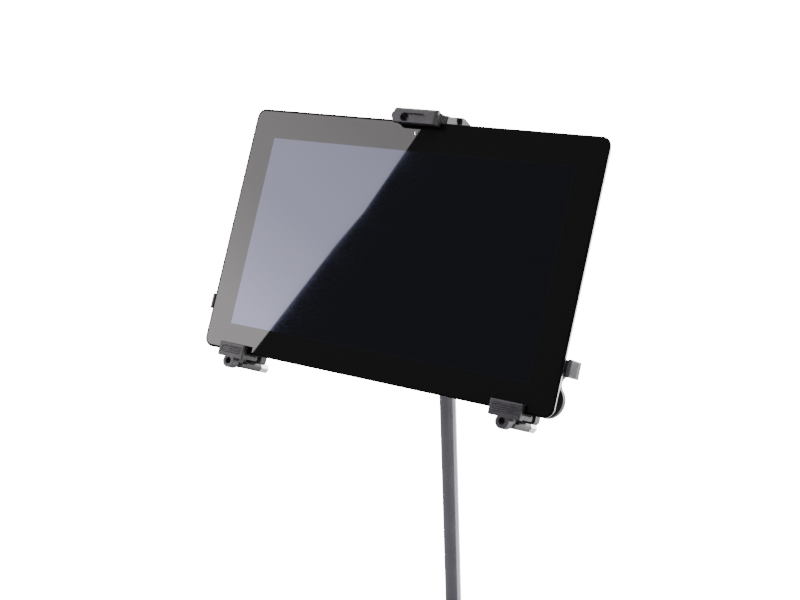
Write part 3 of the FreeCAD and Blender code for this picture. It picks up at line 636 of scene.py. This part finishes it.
def clamp_screw(side):
    """The socket cap screw that takes the place of the plain one of the solids."""
    low, high = span(side + "clamp_screw")
    middle = (low + high) / 2
    head_r = (high.x - low.x) / 2
    end, top = low.z, high.z
    seat = top - HEAD_T
    start, stop = end + TIP_T, seat - THREAD_FREE
    rows = int((stop - end) / THREAD_PITCH * ROWS_A_TURN)
    heights = [start + (stop - start) * i / rows for i in range(rows + 1)]
    thread = [(z, threaded(z, start, stop)) for z in heights]
    outline = [(end, even(TIP_R)),
               *thread,
               (seat - SEAT_RISE, even(SHANK_R)),
               (seat, even(head_r - HEAD_UNDER)),
               (seat + HEAD_EDGE, knurled(head_r)),
               (top - KNURL_END, knurled(head_r)),
               (top - HEAD_ROUND, even(head_r - HEAD_EDGE)),
               (top, even(head_r - 2 * HEAD_EDGE)),
               (top, hexagon(SOCKET_R + SOCKET_EDGE)),
               (top - HEAD_EDGE, hexagon(SOCKET_R)),
               (top - SOCKET_DEEP, hexagon(SOCKET_R)),
               (top - SOCKET_DEEP - DRILL_DEEP, even(DRILL_R))]
    bm = bmesh.new()
    skin(bm, [[(middle.x + radius(k, a) * math.cos(a), middle.y + radius(k, a) * math.sin(a), z)
               for k, a in enumerate(circle(COLUMNS))] for z, radius in outline])
    screw = piece_from(side + "clamp_thread_screw", bm, "black_steel", side + "clamp_screw", smooth_deg=50)
    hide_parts(side + "clamp_screw")


# Dark collars round the half-open mouths of the barrels that the clamp screws run into: painted shade, a
# black band where each mouth lies in shadow

COLLAR_LONG = 3.6
COLLAR_OUT = 0.1
COLLAR_SINK = 0.05
COLLAR_EDGE = 0.1
COLLAR_STEPS = 24
MOUTH_SHARE = 0.3


def barrel_shade_collar(side):
    """A black collar that wraps the lower half of a barrel's mouth: painted shade, a dark band where the
    ring shades the mouth.
    """
    base = frame["nodes"][side + "claw_base"]
    low = span(side + "claw_base")[0]
    screw = middle_of(side + "clamp_screw")
    r = screw.y - low.y
    mouth = max((v.co - MIDDLE).dot(OUT) for v in base.data.vertices
                if (v.co - MIDDLE).dot(UP) / MM < low.y + MOUTH_SHARE * r) / MM
    back = mouth - COLLAR_LONG
    section = ((r - COLLAR_SINK, back), (r + COLLAR_OUT, back + COLLAR_EDGE),
               (r + COLLAR_OUT, mouth - COLLAR_EDGE), (r - COLLAR_SINK, mouth))
    loops = []
    for k in range(COLLAR_STEPS + 1):
        a = math.pi * (1 + k / COLLAR_STEPS)
        loops.append([(screw.x + out * math.cos(a), screw.y + out * math.sin(a), z) for out, z in section])
    bm = bmesh.new()
    skin(bm, loops)
    # painted shade: a black band in rubber stands in for the shadow in the barrel's mouth
    piece_from(side + "barrel_shade_collar", bm, "rubber", frame_body(side + "claw_base"))


# Threads on the ends of the other screws

RIDGE_STEPS = 24
RIDGE_FADE = 6
RIDGE_SINK = 0.1
RIDGE_FOOT = 0.4
RIDGE_LEAST = 0.01
LOCK_PITCH, LOCK_RIDGE = 0.35, 0.14
LEVER_PITCH, LEVER_RIDGE = 0.3, 0.12
LEVER_SCREW_R = 1.6
THREAD_GAP = 0.05
NUT_GAP = 0.02


def thread_ring(node, body, r, z0, z1, pitch, ridge):
    """A helical ridge on the bare end of a screw, from z0 to z1."""
    middle = middle_of(node)
    foot = pitch * RIDGE_FOOT
    steps = int((z1 - z0 - pitch) / pitch * RIDGE_STEPS)
    loops = []
    for k in range(steps + 1):
        a = math.tau * k / RIDGE_STEPS
        z = z0 + pitch / 2 + pitch * k / RIDGE_STEPS
        high = ridge * min(1.0, k / RIDGE_FADE, (steps - k) / RIDGE_FADE) + RIDGE_LEAST
        loops.append([(middle.x + (r + out) * math.cos(a), middle.y + (r + out) * math.sin(a), z + up)
                      for out, up in ((-RIDGE_SINK, -foot), (high, 0.0), (-RIDGE_SINK, foot))])
    bm = bmesh.new()
    skin(bm, loops)
    piece_from(node + "_thread", bm, "steel", body)


def screw_ends():
    rail_front = span("cross_rail")[1].z
    for lock in ("top_lock", "left_lock", "right_lock"):
        low, high = span(lock + "_screw")
        thread_ring(lock + "_screw", lock, (high.x - low.x) / 2, rail_front + THREAD_GAP,
                    high.z - THREAD_GAP, LOCK_PITCH, LOCK_RIDGE)
    for side, _ in SIDES:
        end = span(side + "lever_screw")[0].z
        nut = span(side + "lever_nut")[0].z
        thread_ring(side + "lever_screw", frame_body(side + "lever_screw"), LEVER_SCREW_R,
                    end + THREAD_GAP, nut - NUT_GAP, LEVER_PITCH, LEVER_RIDGE)


# Ribs: across the claws' fronts, on the stops, on the carriage's thumb rest and on the wing knobs

PANEL_W = 19.0
PANEL_LOW = 1.15
PANEL_RIBS = 4
PANEL_PITCH = 1.3
STOP_RIBS = 7
STOP_RIB_H = 0.14
STOP_H = 10.6
STOP_INSET = 0.8
STOP_BACK = 4.6
STOP_FRONT = 0.9
THUMB_RIBS = 5
THUMB_REACH = 7.0
THUMB_LOW = 8.0
THUMB_OVER = 2.0
THUMB_FROM, THUMB_SHARE = 0.5, 0.4
THUMB_INSET = 2.6
WING_RIBS = 3
WING_T = 4.0
WING_TIP = 1.4
WING_PITCH = 1.2
WING_BACK, WING_FRONT = 1.6, 5.2
WING_RIB_W, WING_RIB_H = 0.6, 0.25


def claw_panel(side):
    """The row of fine bars across the front of a claw's lip."""
    low, high = span(side + "claw")
    bottom = span("tablet_case")[0].y
    x = (low.x + high.x) / 2
    bm = bmesh.new()
    for k in range(PANEL_RIBS):
        y = bottom - PANEL_LOW + PANEL_PITCH * k
        rib(bm, (x - PANEL_W / 2, y, high.z), (x + PANEL_W / 2, y, high.z), (0, 1, 0), (0, 0, 1))
    piece_from(side + "claw_panel", bm, "holder_plastic", side + "claw")


def stop_ribs(side, sign):
    """Fine upright bars on the outer face of a lever's stop."""
    low, high = span(side + "side_lever")
    face = high.x if sign > 0 else low.x
    back, front = low.z + STOP_BACK, high.z - STOP_FRONT
    foot, top = high.y - STOP_H + STOP_INSET, high.y - STOP_INSET
    bm = bmesh.new()
    for k in range(STOP_RIBS):
        z = back + (front - back) * k / (STOP_RIBS - 1)
        rib(bm, (face, foot, z), (face, top, z), (0, 0, 1), (sign, 0, 0), high=STOP_RIB_H)
    piece_from(side + "stop_ribs", bm, "holder_plastic", side + "lever")


def thumb_ribs():
    """Grip bars across the sloping thumb rest behind the jaw."""
    low, high = span("jaw_carriage")
    top = span("tablet_case")[1].y
    start = Vector((0, top - THUMB_LOW, low.z + THUMB_REACH))
    end = Vector((0, top + THUMB_OVER, low.z))
    slope = (end - start).normalized()
    rise = Vector((0, slope.z, -slope.y))
    half = Vector((high.x - THUMB_INSET, 0, 0))
    bm = bmesh.new()
    for k in range(THUMB_RIBS):
        middle = start.lerp(end, THUMB_FROM + THUMB_SHARE * k / (THUMB_RIBS - 1))
        rib(bm, middle - half, middle + half, slope, rise)
    piece_from("thumb_ribs", bm, "holder_plastic", "jaw")


def wing_ribs(name):
    """Grip bars on both faces of a wing knob, towards its tips."""
    low, high = span(name + "lock_knob")
    middle = (low + high) / 2
    back, front = low.z + WING_BACK, low.z + WING_FRONT
    bm = bmesh.new()
    for tip in (-1, 1):
        for face in (-1, 1):
            for k in range(WING_RIBS):
                x = middle.x + tip * (high.x - middle.x - WING_TIP - WING_PITCH * k)
                y = middle.y + face * WING_T / 2
                rib(bm, (x, y, back), (x, y, front), (1, 0, 0), (0, face, 0), WING_RIB_W, WING_RIB_H)
    piece_from(name + "wing_ribs", bm, "knob_plastic", name + "lock")


# Caps: in the backs of the wing knobs' hubs, and on the outer end of the tilt knob

WING_CAP = ((1.5, 0.1), (1.5, -0.12), (1.3, -0.2), (0.7, -0.26), (0.2, -0.28))
CAP_R = 6.4
CAP_PROFILE = ((1.0, -0.3), (1.0, 0.25), (0.93, 0.5), (0.82, 0.55), (0.78, 0.3), (0.72, 0.3), (0.66, 0.6),
               (0.4, 0.85), (0.12, 0.92))
CAP_SIDES = 48


def wing_cap(name):
    """The shallow cap in the back of a wing knob's hub."""
    back = span(name + "lock_knob")[0].z
    middle = middle_of(name + "lock_knob")
    bm = bmesh.new()
    turned(bm, middle.x, middle.y, [(r, back + z) for r, z in WING_CAP])
    piece_from(name + "wing_cap", bm, "knob_plastic", name + "lock")


def tilt_knob_cap():
    """The dished cap on the outer end of the tilt knob."""
    low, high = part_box("tilt_knob")
    centre = Vector((high.x, (low.y + high.y) / 2, (low.z + high.z) / 2))
    turn = joint_axis("tilt_knob_turn").to_track_quat("Z", "Y").to_matrix().to_4x4()
    bm = bmesh.new()
    turned(bm, 0, 0, [(CAP_R * r, z) for r, z in CAP_PROFILE], sides=CAP_SIDES)
    piece_from("tilt_knob_cap", bm, "knob_plastic", "tilt_knob",
               Matrix.Translation(centre) @ turn @ Matrix.Scale(MM, 4))


# Rubber: grips on the flanks of the jaw's lip, and each pad's solid again with rounded edges

FLANK_T = 0.12
FLANK_DOWN = 2.8
FLANK_FACING = 0.9
WELD = 0.00001
FLAT_DEG, SHARP_DEG = 1, 30
PAD_ROUND = 0.22
PAD_PROFILE = 0.6


def jaw_side_grips():
    """Thin rubber on both flanks of the jaw's lip, where a thumb and a finger hold it."""
    top = reach("jaw_lip", UP)[1] - FLANK_DOWN * MM
    bm = bmesh.new()
    bm.from_mesh(frame["nodes"]["jaw_lip"].data)
    rest = [f for f in bm.faces if abs(f.normal.dot(RIGHT)) < FLANK_FACING]
    bmesh.ops.delete(bm, geom=rest, context="FACES")
    bmesh.ops.bisect_plane(bm, geom=bm.verts[:] + bm.edges[:] + bm.faces[:], plane_co=UP * top,
                           plane_no=UP, clear_outer=True)
    raised = bmesh.ops.extrude_face_region(bm, geom=bm.faces[:], use_keep_orig=True)["geom"]
    for vert in raised:
        if isinstance(vert, bmesh.types.BMVert):
            vert.co += RIGHT * math.copysign(FLANK_T * MM, (vert.co - MIDDLE).dot(RIGHT))
    piece_from("jaw_lip_side_grips", bm, "rubber", "jaw", Matrix.Identity(4))


def rubber_pad(node):
    """A pad as it comes out of its mould: the same shape with its edges rounded."""
    bm = bmesh.new()
    bm.from_mesh(frame["nodes"][node].data)
    bmesh.ops.remove_doubles(bm, verts=bm.verts, dist=WELD)
    bmesh.ops.dissolve_limit(bm, angle_limit=math.radians(FLAT_DEG), verts=bm.verts, edges=bm.edges)
    sharp = [e for e in bm.edges if e.is_manifold and e.calc_face_angle(0) > math.radians(SHARP_DEG)]
    bmesh.ops.bevel(bm, geom=sharp, offset=PAD_ROUND * MM, segments=2, profile=PAD_PROFILE,
                    affect="EDGES", clamp_overlap=True)
    bmesh.ops.triangulate(bm, faces=[f for f in bm.faces if len(f.verts) > 4])
    pad = piece_from(node + "_moulded", bm, "rubber", frame_body(node), Matrix.Identity(4))
    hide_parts(node)


def build_pieces():
    tablet_rim()
    tablet_cameras()
    screw_ends()
    thumb_ribs()
    jaw_side_grips()
    tilt_knob_cap()
    for name in ("top_", "left_", "right_"):
        wing_ribs(name)
        wing_cap(name)
    rubber_pad("jaw_grip")
    for side, sign in SIDES:
        clamp_screw(side)
        # the black collar is painted shade for the shadow in each barrel's mouth
        barrel_shade_collar(side)
        claw_panel(side)
        stop_ribs(side, sign)
        for pad in ("back_pad", "claw_liner", "stop_pad"):
            rubber_pad(side + pad)


dress_frame()
build_pieces()


# Stage: a floor as white as the backdrop, and the card that the glass mirrors

WHITE = 18.0
FLOOR_SIZE = 14.0
CARD_EDGE_PX = ((419, 132), (364, 212), (336, 245), (253, 352))
CARD_SIDE_PX = (213, 352)
CARD_AWAY = 1.7
CARD_WIDE = 2.2
CARD_OVER = 0.6
CARD_RAMP_PX = ((322, 100), (192, 274))
CARD_GLOW = ((0.0, 3.95), (0.12, 4.2), (0.5, 4.6), (0.75, 5.6), (1.0, 7.0))
CARD_TINT = (1.0, 0.94, 0.97)


def stage_floor():
    """A plain pale floor at the foot of the tube, as white as the backdrop."""
    bpy.ops.mesh.primitive_plane_add(size=FLOOR_SIZE, location=(0, 0, 0))
    floor = bpy.context.object
    floor.name = "floor"
    material = bpy.data.materials.new("pale_floor")
    material.use_nodes = True
    shader = material.node_tree.nodes["Principled BSDF"]
    shader.inputs["Base Color"].default_value = (0.86, 0.86, 0.87, 1.0)
    shader.inputs["Roughness"].default_value = 0.9
    shader.inputs["Specular IOR Level"].default_value = 0.1
    shader.inputs["Emission Color"].default_value = (1.0, 1.0, 1.0, 1.0)
    shader.inputs["Emission Strength"].default_value = WHITE
    floor.data.materials.append(material)
    floor.visible_diffuse = False
    floor.visible_glossy = False


def card_glow(start, end):
    """A glow that grows from one point of the card to another."""
    material = bpy.data.materials.new("card_glow")
    material.use_nodes = True
    tree = material.node_tree
    tree.nodes.clear()
    run = end - start
    coords = new_node(tree, "ShaderNodeTexCoord")
    dot = new_node(tree, "ShaderNodeVectorMath", operation="DOT_PRODUCT")
    dot.inputs[1].default_value = run
    spread = new_node(tree, "ShaderNodeMapRange")
    spread.inputs["From Min"].default_value = start.dot(run)
    spread.inputs["From Max"].default_value = end.dot(run)
    ramp = new_node(tree, "ShaderNodeValToRGB")
    brightest = CARD_GLOW[-1][1]
    fill_ramp(ramp, [(at, shade(CARD_TINT, strength / brightest)) for at, strength in CARD_GLOW])
    glow = new_node(tree, "ShaderNodeEmission")
    glow.inputs["Strength"].default_value = brightest
    out = new_node(tree, "ShaderNodeOutputMaterial")
    tree.links.new(coords.outputs["Object"], dot.inputs[0])
    tree.links.new(dot.outputs["Value"], spread.inputs["Value"])
    tree.links.new(spread.outputs["Result"], ramp.inputs["Fac"])
    tree.links.new(ramp.outputs["Color"], glow.inputs["Color"])
    tree.links.new(glow.outputs["Emission"], out.inputs["Surface"])
    return material


def light_card():
    """The big white card whose straight edge the glass mirrors across the screen."""
    toward = turned_back(pixel_ray(IMAGE_W / 2, IMAGE_H / 2)).normalized()
    plane_at = MIDDLE + toward * CARD_AWAY
    edge = [seen_in_glass(x, y, plane_at, toward) for x, y in CARD_EDGE_PX]
    first = edge[0] + (edge[0] - edge[1]).normalized() * CARD_OVER
    last = edge[-1] + (edge[-1] - edge[-2]).normalized() * CARD_OVER
    aside = toward.cross((last - first).normalized())
    if (seen_in_glass(*CARD_SIDE_PX, plane_at, toward) - edge[-1]).dot(aside) < 0:
        aside = -aside
    bm = bmesh.new()
    inner = [bm.verts.new(p) for p in [first, *edge, last]]
    outer = [bm.verts.new(v.co + aside * CARD_WIDE) for v in inner]
    for i in range(len(inner) - 1):
        bm.faces.new((inner[i], inner[i + 1], outer[i + 1], outer[i]))
    mesh = bpy.data.meshes.new("light_card")
    bm.to_mesh(mesh)
    bm.free()
    mesh.materials.append(card_glow(*[seen_in_glass(x, y, plane_at, toward) for x, y in CARD_RAMP_PX]))
    card = bpy.data.objects.new("light_card", mesh)
    bpy.context.collection.objects.link(card)
    card.visible_camera = False


# Lights: soft boxes, each with its place, target, size and power, and the glow all round

SOFT_BOXES = (
    ("top_light", (0.2, 0.1, 1.9), (0, 0, 0.3), (1.6, 1.6), 26),
    ("fill_light", (1.9, -1.7, 0.5), (0, 0, 0.25), (1.4, 1.8), 20),
    ("side_light", (0.70, 0.42, 0.55), (0, 0, 0.2), (0.6, 0.6), 6.8),
)
GLOW_BEHIND = ((-1.0, 0.12), (-0.2, 0.12), (0.3, 0.7), (0.6, 1.4), (0.8, 3.4), (0.95, 6.0))
GLOW_BELOW = ((-1.0, 0.46), (-0.3, 0.46), (0.0, 0.12), (1.0, 0.12))
GLOW_SWEEP = ((-1.0, 0.0), (0.92, 0.0), (0.96, 3.4), (1.0, 3.4))
GLOW_MOST = 6.0
SWEEP_TOWARD = Vector((0.70, 0.35, -0.62))


def soft_box(name, at, target, size, power):
    """A rectangular studio light."""
    data = bpy.data.lights.new(name, "AREA")
    data.shape = "RECTANGLE"
    data.size, data.size_y = size
    data.energy = power
    light = bpy.data.objects.new(name, data)
    light.location = at
    light.rotation_euler = (Vector(target) - Vector(at)).to_track_quat("-Z", "Y").to_euler()
    bpy.context.collection.objects.link(light)
    light.visible_camera = False


def grey_ramp(tree, value, stops):
    """A grey that follows (value, strength) stops from -1 to 1, as a share of the strongest glow."""
    spread = new_node(tree, "ShaderNodeMapRange")
    spread.inputs["From Min"].default_value = -1.0
    tree.links.new(value, spread.inputs["Value"])
    ramp = new_node(tree, "ShaderNodeValToRGB")
    fill_ramp(ramp, [((at + 1) / 2, [strength / GLOW_MOST] * 3) for at, strength in stops])
    tree.links.new(spread.outputs["Result"], ramp.inputs["Fac"])
    return ramp.outputs["Color"]


def studio_world():
    """White to look at; for the light, bright behind the part and low on one side, dim elsewhere."""
    world = bpy.data.worlds.new("studio")
    bpy.context.scene.world = world
    world.use_nodes = True
    tree = world.node_tree
    tree.nodes.clear()
    coords = new_node(tree, "ShaderNodeTexCoord")
    split = new_node(tree, "ShaderNodeSeparateXYZ")
    tree.links.new(coords.outputs["Generated"], split.inputs["Vector"])
    aside = new_node(tree, "ShaderNodeVectorMath", operation="DOT_PRODUCT")
    tree.links.new(coords.outputs["Generated"], aside.inputs[0])
    aside.inputs[1].default_value = SWEEP_TOWARD.normalized()
    glow = grey_ramp(tree, split.outputs["Y"], GLOW_BEHIND)
    for value, stops in ((split.outputs["Z"], GLOW_BELOW), (aside.outputs["Value"], GLOW_SWEEP)):
        higher = new_node(tree, "ShaderNodeMix", data_type="RGBA", blend_type="LIGHTEN")
        higher.inputs["Factor"].default_value = 1.0
        tree.links.new(glow, higher.inputs[COLOR_A])
        tree.links.new(grey_ramp(tree, value, stops), higher.inputs[COLOR_B])
        glow = higher.outputs[COLOR_OUT]
    lit = new_node(tree, "ShaderNodeBackground")
    lit.inputs["Strength"].default_value = GLOW_MOST
    seen = new_node(tree, "ShaderNodeBackground")
    seen.inputs["Strength"].default_value = WHITE
    path = new_node(tree, "ShaderNodeLightPath")
    mix = new_node(tree, "ShaderNodeMixShader")
    out = new_node(tree, "ShaderNodeOutputWorld")
    tree.links.new(glow, lit.inputs["Color"])
    tree.links.new(path.outputs["Is Camera Ray"], mix.inputs["Fac"])
    tree.links.new(lit.outputs["Background"], mix.inputs[1])
    tree.links.new(seen.outputs["Background"], mix.inputs[2])
    tree.links.new(mix.outputs["Shader"], out.inputs["Surface"])


make_camera()
stage_floor()
light_card()
for box in SOFT_BOXES:
    soft_box(*box)
studio_world()
